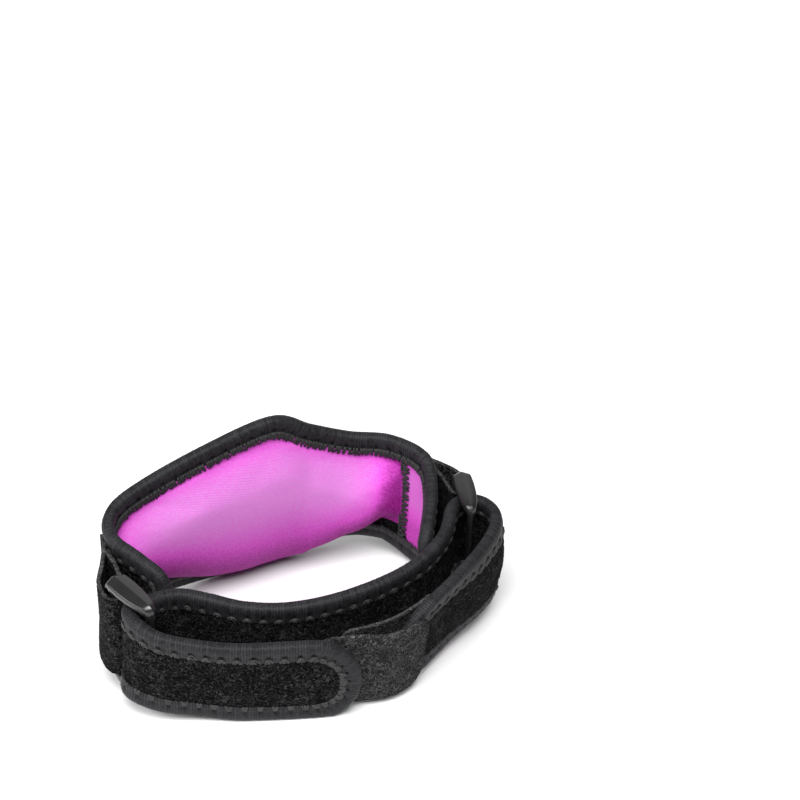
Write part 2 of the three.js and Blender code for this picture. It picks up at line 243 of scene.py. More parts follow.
def slab(name, along, across):              # closed flat slab: u from 0 to 1, v from -1 to 1, side -1 or 1
    deselect()
    bpy.ops.mesh.primitive_grid_add(x_subdivisions=along, y_subdivisions=across, size=2)
    piece = bpy.context.object
    piece.name = piece.data.name = name
    bpy.ops.object.mode_set(mode="EDIT")
    bpy.ops.mesh.select_all(action="SELECT")
    bpy.ops.mesh.extrude_region_move(TRANSFORM_OT_translate={"value": (0, 0, 1)})
    bpy.ops.mesh.select_all(action="SELECT")
    bpy.ops.mesh.normals_make_consistent(inside=False)
    bpy.ops.object.mode_set(mode="OBJECT")
    x, y, z = pointsOf(piece).T
    return piece, (x + 1) / 2, y, np.where(z > 0.5, 1.0, -1.0)


def closeSeams(piece):                      # edges that meet are joined
    useObject(piece)
    bpy.ops.object.mode_set(mode="EDIT")
    bpy.ops.mesh.select_all(action="SELECT")
    bpy.ops.mesh.remove_doubles(threshold=weldReach * mm)
    bpy.ops.object.mode_set(mode="OBJECT")


def faceOut(piece):                         # normals outward and smooth, after the points are placed
    useObject(piece)
    bpy.ops.object.mode_set(mode="EDIT")
    bpy.ops.mesh.select_all(action="SELECT")
    bpy.ops.mesh.normals_make_consistent(inside=False)
    bpy.ops.object.mode_set(mode="OBJECT")
    bpy.ops.object.shade_smooth()


def finishPiece(piece, material, replaced):
    piece.data.materials.clear()
    piece.data.materials.append(material)
    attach(piece, "root")
    if replaced:
        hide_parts(*replaced)
    print("piece:", piece.name, len(piece.data.polygons), "faces")


def rawEdges(piece, v, material):           # cut edges along both sides of a strip
    piece.data.materials.append(material)
    edge = np.abs(v) > cutFrom
    for face in piece.data.polygons:
        if all(edge[k] for k in face.vertices):
            face.material_index = 1


def noisePush(piece, name, size, strength):   # soft random relief, pushed along the normals
    texture = bpy.data.textures.new(name, "CLOUDS")
    texture.noise_scale = size * mm
    texture.noise_depth = 2
    applyModifier(piece, "DISPLACE", texture=texture, texture_coords="LOCAL", strength=strength * mm,
                  mid_level=0.5)


# Materials

def newMaterial(name, roughness=0.5, sheen=0, tint=(1, 1, 1)):
    material = bpy.data.materials.new(name)
    material.use_nodes = True
    nodes = material.node_tree.nodes
    shader = nodes["Principled BSDF"]
    shader.inputs["Roughness"].default_value = roughness
    shader.inputs["Sheen Weight"].default_value = sheen
    shader.inputs["Sheen Roughness"].default_value = 0.45
    shader.inputs["Sheen Tint"].default_value = (*tint, 1)
    return material, nodes, material.node_tree.links, shader


def addNode(nodes, kind, **values):
    node = nodes.new(kind)
    for key, value in values.items():
        if key in node.inputs:
            node.inputs[key].default_value = value
        else:
            setattr(node, key, value)
    return node


def addRamp(nodes, stops):                  # stops: place, grey or colour
    ramp = nodes.new("ShaderNodeValToRGB")
    elements = ramp.color_ramp.elements
    while len(elements) < len(stops):
        elements.new(0.5)
    for element, (place, colour) in zip(elements, stops):
        element.position = place
        element.color = (*colour, 1) if isinstance(colour, tuple) else (colour, colour, colour, 1)
    return ramp


def addNoise(nodes, links, **values):       # noise that stays with the piece
    place = addNode(nodes, "ShaderNodeTexCoord")
    noise = addNode(nodes, "ShaderNodeTexNoise", **values)
    links.new(place.outputs["Object"], noise.inputs["Vector"])
    return noise.outputs["Fac"]


def addShare(nodes, links, value, share, base):   # a share of one value on top of another
    total = addNode(nodes, "ShaderNodeMath", operation="MULTIPLY_ADD")
    links.new(value, total.inputs[0])
    total.inputs[1].default_value = share
    links.new(base, total.inputs[2])
    return total.outputs["Value"]


def addColour(nodes, links, value, stops, target):   # a value turned into a colour
    ramp = addRamp(nodes, stops)
    links.new(value, ramp.inputs["Fac"])
    links.new(ramp.outputs["Color"], target)


def addBump(nodes, links, height, shader, distance, strength=1.0):
    bump = addNode(nodes, "ShaderNodeBump", Strength=strength, Distance=distance * mm)
    links.new(height, bump.inputs["Height"])
    links.new(bump.outputs["Normal"], shader.inputs["Normal"])


def makePile(name, dark, mid, curlHighlight):       # curly loop pile: dark ground with small paler curls, painted highlights on the curls
    material, nodes, links, shader = newMaterial(name, roughness=0.95, sheen=0.005, tint=(0.7, 0.7, 0.75))
    shader.inputs["Specular IOR Level"].default_value = 0.03
    curl = addNoise(nodes, links, Scale=600, Detail=2.5, Roughness=0.6, Distortion=2.6)
    clump = addNoise(nodes, links, Scale=160, Detail=2, Roughness=0.5)
    tone = addShare(nodes, links, clump, 0.2, curl)
    # a dark ground, a mid tone and painted highlights on the curls
    stops = [(0.5, dark), (0.61, mid), (0.76, curlHighlight)]
    addColour(nodes, links, tone, stops, shader.inputs["Base Color"])
    addBump(nodes, links, curl, shader, distance=0.9)
    return material


def makeTape(name):                         # ribbed edge tape, with painted shade in its grooves and needle holes and lighter rib crests
    material, nodes, links, shader = newMaterial(name, roughness=0.55, sheen=0.02, tint=(0.75, 0.75, 0.8))
    shader.inputs["Specular IOR Level"].default_value = 0.14
    rib = addNode(nodes, "ShaderNodeAttribute", attribute_name="rib")
    hole = addNode(nodes, "ShaderNodeAttribute", attribute_name="hole")
    fuzz = addNoise(nodes, links, Scale=1500, Detail=2, Roughness=0.6)
    tone = addShare(nodes, links, rib.outputs["Fac"], 0.5, fuzz)
    # painted shade in the grooves and lighter crests, each rib fainter or fuller at random
    stops = [(0.36, (0.0015, 0.0015, 0.0017)), (0.9, (0.0225, 0.0225, 0.025))]
    # painted shade in the needle holes
    shade = addNode(nodes, "ShaderNodeMix", data_type="RGBA")
    links.new(hole.outputs["Fac"], shade.inputs["Factor"])
    addColour(nodes, links, tone, stops, shade.inputs["A"])
    shade.inputs["B"].default_value = (0.003, 0.003, 0.003, 1)
    links.new(shade.outputs["Result"], shader.inputs["Base Color"])
    addBump(nodes, links, fuzz, shader, distance=0.15)
    return material


def makeJersey(name):                       # fine knit courses along the cloth, with a painted highlight band and painted shade read from each vertex
    material, nodes, links, shader = newMaterial(name, roughness=0.55, sheen=0.01, tint=(1.0, 0.88, 1.0))
    shader.inputs["Specular IOR Level"].default_value = 0.06
    flat = addNode(nodes, "ShaderNodeUVMap", uv_map="flatCloth")
    courses = addNode(nodes, "ShaderNodeTexWave", bands_direction="Y", Scale=62, Distortion=0.6)
    courses.inputs["Detail"].default_value = 1
    courses.inputs["Detail Scale"].default_value = 6
    wales = addNode(nodes, "ShaderNodeTexWave", bands_direction="X", Scale=80, Distortion=0.4)
    links.new(flat.outputs["UV"], courses.inputs["Vector"])
    links.new(flat.outputs["UV"], wales.inputs["Vector"])
    fuzz = addNoise(nodes, links, Scale=1200, Detail=3, Roughness=0.65)
    paintedLightShade = addNode(nodes, "ShaderNodeAttribute", attribute_name="paintedLightShade")
    knit = addShare(nodes, links, wales.outputs["Fac"], 0.35, courses.outputs["Fac"])
    grain = addShare(nodes, links, knit, 0.1, fuzz)
    tone = addShare(nodes, links, grain, 0.45, paintedLightShade.outputs["Fac"])
    # colours for painted shade, the plain jersey and the painted highlight
    stops = [(0.2, (0.2, 0.006, 0.15)), (0.55, (0.555, 0.075, 0.48)), (0.88, (0.505, 0.18, 0.49))]
    addColour(nodes, links, tone, stops, shader.inputs["Base Color"])
    addBump(nodes, links, knit, shader, distance=0.06, strength=0.6)
    return material


def makePlastic(name):                      # satin moulded plastic with a faint grain
    material, nodes, links, shader = newMaterial(name)
    grain = addNoise(nodes, links, Scale=2600, Detail=2, Roughness=0.5)
    flow = addNoise(nodes, links, Scale=90, Detail=3, Roughness=0.55)
    stops = [(0.3, (0.008, 0.008, 0.0083)), (0.75, (0.014, 0.014, 0.0144))]
    addColour(nodes, links, flow, stops, shader.inputs["Base Color"])
    rough = addNode(nodes, "ShaderNodeMapRange")
    rough.inputs["To Min"].default_value = 0.2
    rough.inputs["To Max"].default_value = 0.34
    links.new(flow, rough.inputs["Value"])
    links.new(rough.outputs["Result"], shader.inputs["Roughness"])
    addBump(nodes, links, grain, shader, distance=0.03, strength=0.5)
    return material


def makeThread(name, dark, light):          # twisted sewing thread
    material, nodes, links, shader = newMaterial(name, roughness=0.7, sheen=0.02, tint=(0.8, 0.8, 0.85))
    ply = addNoise(nodes, links, Scale=1900, Detail=2, Roughness=0.6)
    addColour(nodes, links, ply, [(0.35, dark), (0.7, light)], shader.inputs["Base Color"])
    addBump(nodes, links, ply, shader, distance=0.12)
    return material


loopPile = makePile("loopPile", dark=0.0008, mid=0.004, curlHighlight=0.04)
# a lighter copy of the same loop pile for the ring loops: painted light where the left lamp falls on them
paintedLitLoopPile = makePile("paintedLitLoopPile", dark=0.0018, mid=0.0075, curlHighlight=0.055)
hookTape = makePile("hookTape", dark=0.009, mid=0.026, curlHighlight=0.09)
rawEdge = makePile("rawClothEdge", dark=0.015, mid=0.04, curlHighlight=0.09)
ribbedTape = makeTape("ribbedTape")
jersey = makeJersey("magentaJersey")
plastic = makePlastic("satinPlastic")
tapeThread = makeThread("tapeThread", dark=0.008, light=0.035)
seamThread = makeThread("seamThread", dark=0.004, light=0.014)
print("materials ready")


# Edge tape and its stitches

# ribs across the tape, from faint to full, and needle holes; within roll of its fold the ribs face the edge
tape = {
    "ribPitch": 0.95, "ribDeep": 0.08, "ribSteps": 4, "ribFaint": 0.2, "ribSeed": 2, "roll": 0.8,
    "stitchPitch": 5.2, "holeInset": 4.6, "holeRadius": 0.75, "holeDeep": 0.45,
}
# arches of thread over the tape's raw edge, each of three strands that are shares of the widest
arch = {
    "foot": 7.6, "tall": 2.2, "half": 1.5, "lowShare": 0.65, "strands": (1, 0.62, 0.3), "nest": 0.55,
    "swing": 1.35, "blunt": 0.7, "footOut": 1.65, "crownOut": 0.55, "crownRound": 0.5, "strandOut": 0.12,
    "radius": 0.27, "steps": 9, "stray": 0.15, "seed": 3,
}
# tape section from its outer raw edge over the fold: set in from the edge, out from the middle
tapeOuter = [(7.3, 1.75), (6.5, 1.98), (5.5, 2.02), (4.6, 1.95), (3.9, 2.1), (3.0, 2.26), (2.0, 2.26),
             (1.1, 2.08), (0.4, 1.55), (0.08, 0.85)]
tapeFold = tapeOuter + [(0, 0)] + [(inset, -n) for inset, n in reversed(tapeOuter)]
tapeInner = [(7.3, -1.35), (1.0, -1.35), (1.0, 1.35), (7.3, 1.35)]
tapeSection = np.array(tapeFold + tapeInner)
edgeSteps = {"corner": 24, "side": 400}     # points of an outline, round a corner and along a side


def edgeLoop(length, halfAt, radius):       # closed outline of a strip: s, z, and the way out of its edge
    turn = np.radians(np.linspace(0, 90, edgeSteps["corner"], endpoint=False))
    straight = np.linspace(radius, length - radius, edgeSteps["side"])
    corner = radius * (1 - np.cos(turn))
    s = np.concatenate([corner, straight, (length - corner)[::-1]])
    drop = radius * (1 - np.sin(turn))
    z = halfAt(s) - np.concatenate([drop, np.zeros(len(straight)), drop[::-1]])
    slope = (halfAt(straight + 1) - halfAt(straight - 1)) / 2
    outS = np.concatenate([-np.cos(turn), -slope / np.hypot(slope, 1), np.cos(turn)[::-1]])
    outZ = np.concatenate([np.sin(turn), 1 / np.hypot(slope, 1), np.sin(turn)[::-1]])
    edge = np.stack([s, z, outS, outZ], -1)
    lower = edge[::-1] * (1, -1, 1, -1)
    edge = np.vstack([edge, lower, edge[:1]])
    run = np.concatenate([[0], np.cumsum(np.hypot(*np.diff(edge[:, :2], axis=0).T))])
    return {"run": run, "edge": edge, "length": run[-1]}


def alongEdge(loop, at):
    s, z, outS, outZ = (np.interp(at % loop["length"], loop["run"], loop["edge"][:, k]) for k in range(4))
    size = np.hypot(outS, outZ)
    return s, z, outS / size, outZ / size


def stitchCount(loop):
    return round(loop["length"] / tape["stitchPitch"])


def foldTape(name, loop, place):            # tape folded over the whole edge, ribbed and with needle holes
    ribs = round(loop["length"] / tape["ribPitch"])
    steps = ribs * tape["ribSteps"]
    wide = len(tapeSection)
    deselect()
    bpy.ops.mesh.primitive_grid_add(x_subdivisions=steps, y_subdivisions=wide, size=2)
    piece = bpy.context.object
    piece.name = piece.data.name = name
    x, y, _ = pointsOf(piece).T
    at = (x + 1) / 2 * loop["length"]
    across = np.round((y + 1) / 2 * wide).astype(int) % wide
    inset, n = tapeSection[across].T
    outer = across < len(tapeFold)
    turn = at / loop["length"] * ribs
    proud = np.random.default_rng(tape["ribSeed"]).uniform(tape["ribFaint"], 1, ribs)
    rib = (np.cos(turn * 2 * np.pi) * 0.5 + 0.5) * proud[np.round(turn).astype(int) % ribs]
    gap = loop["length"] / stitchCount(loop)
    toHole = np.abs((at / gap + 0.5) % 1 - 0.5) * gap
    near = np.hypot(toHole, inset - tape["holeInset"]) / tape["holeRadius"]
    hole = np.where(outer, np.exp(-near ** 2), 0)
    roll = np.clip(inset / tape["roll"], 0, 1)
    push = np.where(outer, (2 * rib - 1) * tape["ribDeep"] - hole * tape["holeDeep"], 0)
    s, z, outS, outZ = alongEdge(loop, at)
    n = n + np.sign(n) * push * roll
    inset = inset - push * (1 - roll)
    movePoints(piece, place(s - inset * outS, n, z - inset * outZ))
    setFlatUv(piece, at, inset * np.sign(n))
    setShare(piece, "rib", rib)
    setShare(piece, "hole", hole)
    closeSeams(piece)
    faceOut(piece)
    return piece


threadSides = 5
skewWay = np.array([0.31, 0.53, 0.79])      # no thread runs along this way


def threadMesh(name, paths, radius):        # round threads along many short paths, joined in one mesh
    sides = threadSides
    count, steps, _ = paths.shape
    along = np.gradient(paths, axis=1)
    along /= np.linalg.norm(along, axis=2, keepdims=True)
    aside = np.cross(along, skewWay)
    aside /= np.linalg.norm(aside, axis=2, keepdims=True)
    across = np.cross(along, aside)
    turn = np.arange(sides) / sides * 2 * np.pi
    circle = aside[:, :, None] * np.cos(turn)[:, None] + across[:, :, None] * np.sin(turn)[:, None]
    points = (paths[:, :, None] + circle * radius * mm).reshape(-1, 3)
    k, j = np.meshgrid(np.arange(steps - 1), np.arange(sides), indexing="ij")
    wall = np.stack([k * sides + j, k * sides + (j + 1) % sides, (k + 1) * sides + (j + 1) % sides,
                     (k + 1) * sides + j], -1).reshape(-1, 4)
    base = np.arange(count) * steps * sides
    walls = (wall[None] + base[:, None, None]).reshape(-1, 4).tolist()
    first = (np.arange(sides)[::-1][None] + base[:, None]).tolist()
    last = (np.arange(sides)[None] + base[:, None] + (steps - 1) * sides).tolist()
    mesh = bpy.data.meshes.new(name)
    mesh.from_pydata(points.tolist(), [], walls + first + last)
    piece = bpy.data.objects.new(name, mesh)
    bpy.context.scene.collection.objects.link(piece)
    faceOut(piece)
    return piece


def sewTape(name, loop, place, faces):      # an arch of thread at each needle hole, small on the low edge
    stitches = stitchCount(loop)
    at = np.arange(stitches) / stitches * loop["length"]
    chance = np.random.default_rng(arch["seed"])
    turn = np.linspace(-1, 1, arch["steps"])
    crown = np.cos(turn * np.pi / 2)
    s, z, outS, outZ = (value[:, None] for value in alongEdge(loop, at))
    size = np.where(outZ < -0.5, arch["lowShare"], 1)
    paths = []
    for face in faces:
        for wide in arch["strands"]:
            stray = chance.normal(0, arch["stray"], (2, stitches, 1))
            aside = arch["half"] * size * (wide + stray[0]) * np.sin(turn * arch["swing"]) + stray[1]
            reach = arch["tall"] * size * (1 - arch["nest"] * (1 - wide)) + stray[1]
            inset = arch["foot"] - reach * crown ** arch["blunt"]
            out = arch["footOut"] + arch["crownOut"] * crown ** arch["crownRound"]
            n = face * (out + arch["strandOut"] * (1 - wide)) + 0 * s
            paths.append(place(s - inset * outS - aside * outZ, n, z - inset * outZ + aside * outS))
    return threadMesh(name, np.concatenate(paths), arch["radius"])


# Pad: panel, lining over foam, binding and stitches

padLoop = edgeLoop(padRoute["length"], padHalf, cloth["padEndRadius"])
padPanel = {"step": 0.8, "meanHalf": 30, "inset": 1.2, "puff": 0.5, "pileSize": 0.9, "pileDeep": 0.5}


def makePadPanel():
    length = padRoute["length"]
    along = round(length / padPanel["step"])
    piece, u, v, side = slab("padPanelCloth", along, round(2 * padPanel["meanHalf"] / padPanel["step"]))
    s = padPanel["inset"] + u * (length - 2 * padPanel["inset"])
    z = v * (cornerHalf(s, length, padHalf(s), cloth["padEndRadius"]) - padPanel["inset"])
    n = side * cloth["thick"] / 2
    n = np.where(side > 0, n + padPanel["puff"] * (1 - v ** 2), n)
    movePoints(piece, bendPad(s, n, z))
    setFlatUv(piece, s, z)
    faceOut(piece)
    noisePush(piece, "padPileRelief", padPanel["pileSize"], padPanel["pileDeep"])
    finishPiece(piece, loopPile, ["pad_panel"])


# the foam lies between start and end along the pad, and rolls down to the panel at both
# it is fullest at its low edge in the middle of the pad, where it sags over the tape
padLining = {
    "inset": 7.4, "endInset": 9.6, "step": 1.5, "rows": 56, "rowBunch": 1.35, "gap": 0.2, "skin": 0.5,
    "depth": 12, "start": 30, "end": 158.4, "rollStart": 12, "rollEnd": 7,
    "endShare": 0.55, "bodyRound": 0.8, "topShoulder": 11, "topRound": 0.85,
    "lowShoulder": 2, "lowRound": 0.4, "lowFrom": 0.4,
    "sag": 7.8, "sagFrom": 50.4, "sagFull": 97, "sagEase": 138.7, "sagEnd": 158.7,
    "lowRise": 5.4, "riseFrom": 126.3, "riseFull": 157.2, "risePast": 1.5,
    "leftDrop": 2.4, "dropFrom": 50, "dropFull": 25,
}
# painted light on the jersey: a painted highlight band along the pad, and painted shade low down, painted
# shadow of the tape at the top edge and painted shade by the seam at the right end
liningPaintedLight = {
    "plain": 0.3, "swing": 0.3, "strip": 0.5,
    "paleAt": 0.55, "paleWide": 0.42, "paleFrom": 26, "paleFull": 66, "paleEase": 132, "paleEnd": 158,
    "deepAt": 0.55, "deepDrop": 0.45, "deepFrom": 30, "deepFull": 90, "deepBlend": 0.8,
    "tapeShadow": 0.5, "topFrom": 0.75, "seamShade": 0.8, "endFrom": 145, "endFull": 156,
}
# the jersey over the foam is blown tight like a cushion cover, held where it is sewn or glued
liningPuff = {"pressure": 4, "mass": 0.02, "steps": 20, "most": 0.8, "sewnFrom": 0.93, "gluedUnder": 0.5}


def quarterRound(share):
    return np.sqrt(1 - (1 - np.clip(share, 0, 1)) ** 2)


def puffLining(piece, held):
    flat = pointsOf(piece)
    sewn = piece.vertex_groups.new(name="sewnDown")
    sewn.add(np.flatnonzero(held).tolist(), 1, "REPLACE")
    useObject(piece)
    modifier = piece.modifiers.new("Cloth", "CLOTH")
    modifier.settings.vertex_group_mass = sewn.name
    modifier.settings.mass = liningPuff["mass"]
    modifier.settings.use_pressure = True
    modifier.settings.uniform_pressure_force = liningPuff["pressure"]
    modifier.settings.effector_weights.gravity = 0
    modifier.collision_settings.use_collision = False
    for step in range(1, liningPuff["steps"] + 1):
        bpy.context.scene.frame_set(step)
    bpy.ops.object.modifier_apply(modifier=modifier.name)
    bpy.context.scene.frame_set(1)
    move = pointsOf(piece) - flat
    far = np.linalg.norm(move, axis=1, keepdims=True)
    movePoints(piece, flat + move * np.minimum(1, liningPuff["most"] * mm / np.maximum(far, 1e-9)))
    piece.vertex_groups.clear()
    print("lining puffed by up to", round(float(far.max()) / mm, 2), "mm")


# painted highlight and painted shade of the lining, as one value on each vertex
def paintLiningLight(s, v):
    tone = liningPaintedLight
    foam = s < padLining["end"]
    pale = np.exp(-((v - tone["paleAt"]) / tone["paleWide"]) ** 2)
    pale *= between(tone, s, "paleFrom", "paleFull") * (1 - between(tone, s, "paleEase", "paleEnd"))
    pale = np.where(s > padLining["end"], tone["strip"], pale)
    # painted shade low down, the tape's painted shadow along the top edge, and painted shade beside the
    # right seam
    deepUnder = tone["deepAt"] - tone["deepDrop"] * between(tone, s, "deepFrom", "deepFull")
    deep = smoothStep((deepUnder - v) / tone["deepBlend"])
    deep += tone["tapeShadow"] * smoothStep((v - tone["topFrom"]) / (1 - tone["topFrom"]))
    deep += tone["seamShade"] * between(tone, s, "endFrom", "endFull") * foam
    return tone["plain"] + tone["swing"] * (pale - np.minimum(deep, 1))


def makePadLining():
    values = padLining
    face = -cloth["thick"] / 2 - values["gap"]
    length = padRoute["length"]
    start, end = values["endInset"], length - values["endInset"]
    piece, u, v, side = slab("padLiningJersey", round((end - start) / values["step"]), values["rows"])
    v = np.sin(v * values["rowBunch"]) / math.sin(values["rowBunch"])
    s = start + u * (end - start)
    half = padHalf(s) - values["inset"]
    across = np.clip((s - values["start"]) / (values["end"] - values["start"]), 0, 1)
    body = np.maximum(np.sin(np.pi * across), 0) ** values["bodyRound"]
    body = values["endShare"] + (1 - values["endShare"]) * body
    rise = values["depth"] * body * quarterRound((s - values["start"]) / values["rollStart"])
    rise *= quarterRound((values["end"] - s) / values["rollEnd"])
    sag = between(values, s, "sagFrom", "sagFull") * (1 - between(values, s, "sagEase", "sagEnd"))
    low = sag * smoothStep(values["lowFrom"] - v)
    curve = values["topRound"] + (values["lowRound"] - values["topRound"]) * low
    shoulder = values["topShoulder"] + (values["lowShoulder"] - values["topShoulder"]) * low
    crown = rise * np.maximum(1 - v ** 2, 0) ** curve * smoothStep(half * (1 - np.abs(v)) / shoulder)
    crown = np.where(side > 0, crown, 0)
    lowRise = values["lowRise"] * between(values, s, "riseFrom", "riseFull")
    lowRise *= (1 - v) / 2 * (s < values["end"] + values["risePast"])
    leftDrop = values["leftDrop"] * (1 - between(values, s, "dropFull", "dropFrom")) * smoothStep(v)
    z = v * half - values["sag"] * sag * crown / values["depth"] + lowRise - leftDrop
    movePoints(piece, bendPad(s, face - np.where(side > 0, values["skin"] + crown, 0), z))
    setFlatUv(piece, s, v * half)
    # the painted highlight and painted shade go on each vertex for the jersey
    setShare(piece, "paintedLightShade", paintLiningLight(s, v))
    faceOut(piece)
    held = (np.abs(v) > liningPuff["sewnFrom"]) | (rise < liningPuff["gluedUnder"])
    puffLining(piece, held | (side < 0))
    applyModifier(piece, "SUBSURF", levels=1, render_levels=1)
    faceOut(piece)
    finishPiece(piece, jersey, ["pad_lining"])


makePadPanel()
makePadLining()
padTape = foldTape("padBindingTape", padLoop, bendPad)
finishPiece(padTape, ribbedTape, ["pad_binding"])
padSewing = sewTape("padBindingStitches", padLoop, bendPad, [1])
finishPiece(padSewing, tapeThread, [])

# inside, the same seam shows as close teeth of thread from the tape down onto the lining
padTeeth = {"pitch": 1.1, "inset": 5.4, "reach": 2.5, "radius": 0.42, "stray": 0.4, "asideStray": 0.3,
            "out": 2.15, "climb": 0.35, "bow": 0.3, "steps": 5, "seed": 5}


def sewTeeth(name, loop, place):
    count = round(loop["length"] / padTeeth["pitch"])
    chance = np.random.default_rng(padTeeth["seed"])
    at = np.arange(count) / count * loop["length"]
    share = np.linspace(0, 1, padTeeth["steps"])
    s, z, outS, outZ = (value[:, None] for value in alongEdge(loop, at))
    n = -padTeeth["out"] - padTeeth["climb"] * share - padTeeth["bow"] * np.sin(np.pi * share) + 0 * s
    paths = []
    for way in (-0.5, 0.5):
        reach = padTeeth["reach"] + chance.normal(0, padTeeth["stray"], (count, 1))
        inset = padTeeth["inset"] + reach * share
        aside = padTeeth["pitch"] * way * (1 - share) + chance.normal(0, padTeeth["asideStray"], (count, 1))
        paths.append(place(s - inset * outS - aside * outZ, n, z - inset * outZ + aside * outS))
    return threadMesh(name, np.concatenate(paths), padTeeth["radius"])


padInnerSewing = sewTeeth("padInnerStitches", padLoop, bendPad)
finishPiece(padInnerSewing, seamThread, [])

# a cross seam at each end of the foam: slanted threads from edge to edge, and a chain of thread beside them
crossSeam = {"rightPast": 1.2, "leftBack": 1.5, "wide": 3.4, "pitch": 2.1, "chainShare": 1.1, "inset": 7,
             "radius": 0.42, "out": 0.95, "bow": 0.4, "stray": 0.3, "steps": 5, "seed": 8}


def makeCrossSeam(name, at):
    half = float(padHalf(at)) - crossSeam["inset"]
    count = round(2 * half / crossSeam["pitch"])
    chance = np.random.default_rng(crossSeam["seed"])
    z = np.linspace(-half, half, count)[:, None]
    share = np.linspace(0, 1, crossSeam["steps"])
    n = -cloth["thick"] / 2 - crossSeam["out"] - crossSeam["bow"] * np.sin(np.pi * share) + 0 * z
    paths = []
    for way in (-1, 1):
        stray = chance.normal(0, crossSeam["stray"], (2, count, 1))
        s = at + crossSeam["wide"] * (share - 0.5) + stray[0] * share
        paths.append(bendPad(s, n, z + way * crossSeam["pitch"] * 0.5 * share + stray[1] * share))
    chain = z + (share - 0.5) * crossSeam["pitch"] * crossSeam["chainShare"]
    paths.append(bendPad(at - crossSeam["wide"] / 2 + 0 * chain, n, chain))
    piece = threadMesh(name, np.concatenate(paths), crossSeam["radius"])
    finishPiece(piece, seamThread, [])


makeCrossSeam("liningSeamRight", padLining["end"] + crossSeam["rightPast"])
makeCrossSeam("liningSeamLeft", padLining["start"] - crossSeam["leftBack"])

# Strap: cloth, binding and stitches

strapLoop = edgeLoop(strapRoute["length"], lambda s: cloth["strapHalf"] + 0 * s, cloth["strapEndRadius"])
strapCloth = {"step": 0.8, "inset": 1.2, "puff": 0.55, "pileSize": 0.9, "pileDeep": 0.5}


def makeStrapCloth():
    length = strapRoute["length"]
    along = round(length / strapCloth["step"])
    piece, u, v, side = slab("strapCloth", along, round(2 * cloth["strapHalf"] / strapCloth["step"]))
    s = strapCloth["inset"] + u * (length - 2 * strapCloth["inset"])
    z = v * (strapLow(s) - strapCloth["inset"])
    n = side * (cloth["thick"] / 2 + strapCloth["puff"] * (1 - v ** 2))
    movePoints(piece, bendStrap(s, n, z))
    setFlatUv(piece, s, z)
    faceOut(piece)
    noisePush(piece, "strapPileRelief", strapCloth["pileSize"], strapCloth["pileDeep"])
    finishPiece(piece, loopPile, ["strap"])


makeStrapCloth()
strapTape = foldTape("strapBindingTape", strapLoop, bendStrap)
finishPiece(strapTape, ribbedTape, ["strap_binding"])
strapSewing = sewTape("strapBindingStitches", strapLoop, bendStrap, [1, -1])
finishPiece(strapSewing, tapeThread, [])

# Rings

ring = {"length": 22, "height": 47.6, "bar": 3.4, "rail": 3.5, "corner": 3, "slotCorner": 2,
        "pathSteps": 160, "edge": 0.2, "edgeAngle": 16, "smoothAngle": 40, "barThin": 0.55, "barFlare": 2}
# half thickness from the back end (-1) to the pointed front end (1)
ringLeaf = np.array([(-1, 3), (-0.7, 3.4), (-0.3, 3.6), (0.1, 3.4), (0.45, 2.9), (0.75, 2), (0.9, 1.4),
                     (1, 0.8)])
# half of the ring section: out from the slot to the outside (0 to 1), across from the middle (0 to 1)
ringHalf = [(0, 0.82), (0.08, 0.96), (0.16, 1), (0.6, 1), (0.74, 0.92), (1, 0)]
ringSection = ringHalf + [(out, -wide) for out, wide in reversed(ringHalf[:-1])]


def roundedFrame(width, height, radius, steps):   # points round a rounded rectangle, a quarter at a time
    quarter = np.pi / 2
    sideTurn = np.pi / 8                    # turn spent on the straight stretch beside a corner
    angle = np.linspace(0, 2 * np.pi, steps, endpoint=False)
    corner = np.floor(angle / quarter).astype(int)
    local = angle - corner * quarter
    share = np.clip((local - sideTurn) / (quarter - 2 * sideTurn), 0, 1)
    turn = corner * quarter + share * quarter
    cornerX = np.array([1, -1, -1, 1])[corner] * (width / 2 - radius)
    cornerY = np.array([1, 1, -1, -1])[corner] * (height / 2 - radius)
    x, y = cornerX + radius * np.cos(turn), cornerY + radius * np.sin(turn)
    before = local < sideTurn
    after = local > quarter - sideTurn
    toCorner = local / sideTurn
    pastCorner = (local - (quarter - sideTurn)) / sideTurn
    upright = corner % 2 == 0
    x = np.where(after & upright, x * (1 - pastCorner), x)
    y = np.where(after & ~upright, y * (1 - pastCorner), y)
    y = np.where(before & upright, y * toCorner, y)
    x = np.where(before & ~upright, x * toCorner, x)
    return x, y


